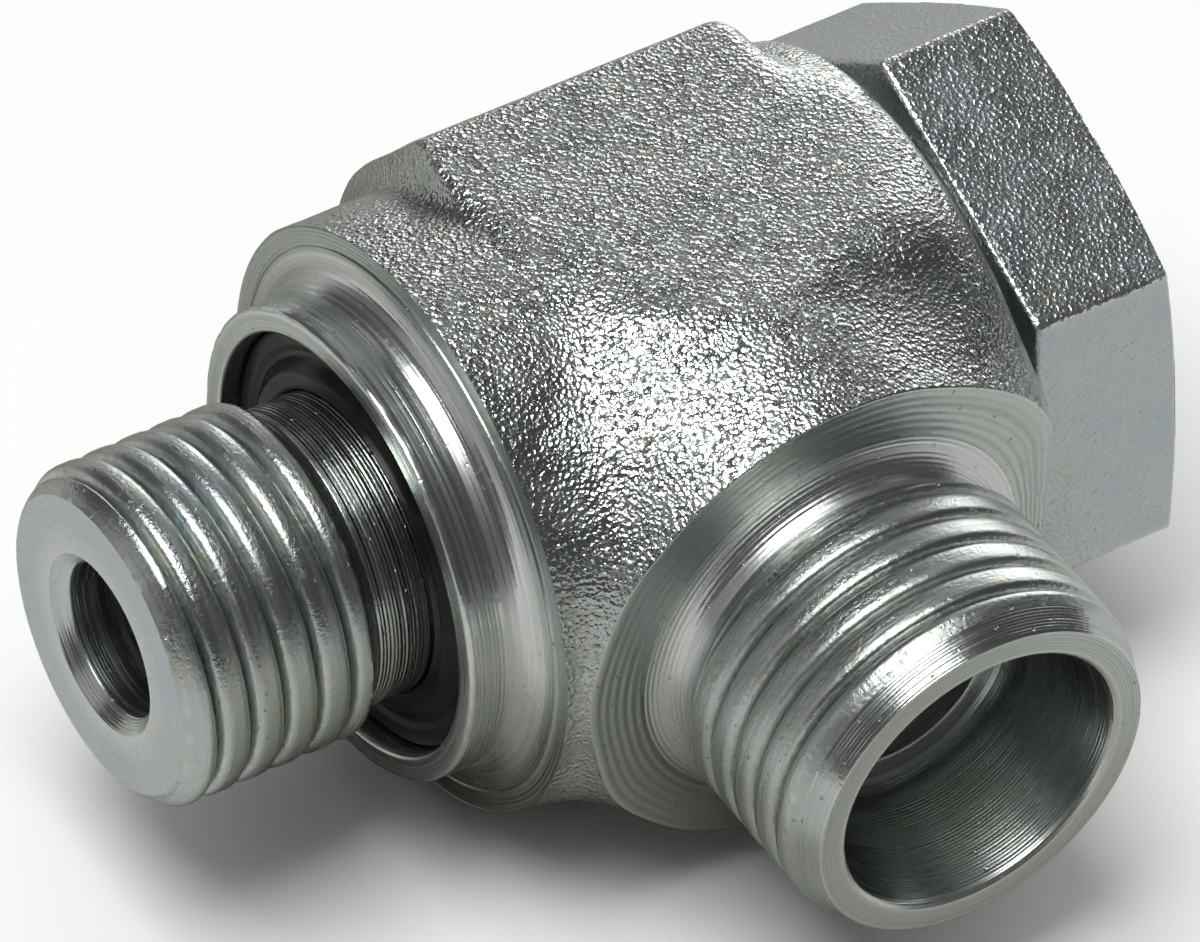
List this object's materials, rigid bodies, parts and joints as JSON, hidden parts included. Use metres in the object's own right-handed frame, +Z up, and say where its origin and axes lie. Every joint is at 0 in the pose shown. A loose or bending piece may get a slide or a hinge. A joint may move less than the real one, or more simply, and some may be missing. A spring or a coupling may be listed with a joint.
{
  "type": "swivel fitting",
  "caption": "Hydraulic swivel fitting: forged banjo body with a 24 degree cone tube port, turning on a hollow hex-headed bolt with a threaded stud and captive seals.",
  "frame": {"origin": "on the bolt's axis, where the tube port's axis crosses it", "axes": "-X out of the stud's end, +X out of the hex head, -Y out of the tube port, +Z up, square to the forging's flat top"},
  "size_m": [0.0426, 0.0356, 0.025],
  "materials": {
    "forged_zinc": "zinc-plated forging, turned at the collar and the tube port",
    "turned_zinc": "zinc-plated, turned stud and drawn hexagon",
    "elastomer": "black elastomer"
  },
  "bodies": {
    "body": {"banjo_body": "forged_zinc", "stud_seal": "elastomer", "head_seal": "elastomer"},
    "bolt": {"banjo_bolt": "turned_zinc"}
  },
  "joints": [
    {"name": "bolt_swivel", "type": "hinge", "parent": "body", "child": "bolt", "pos_m": [0, 0, 0], "axis": [1, 0, 0], "continuous": true}
  ]
}
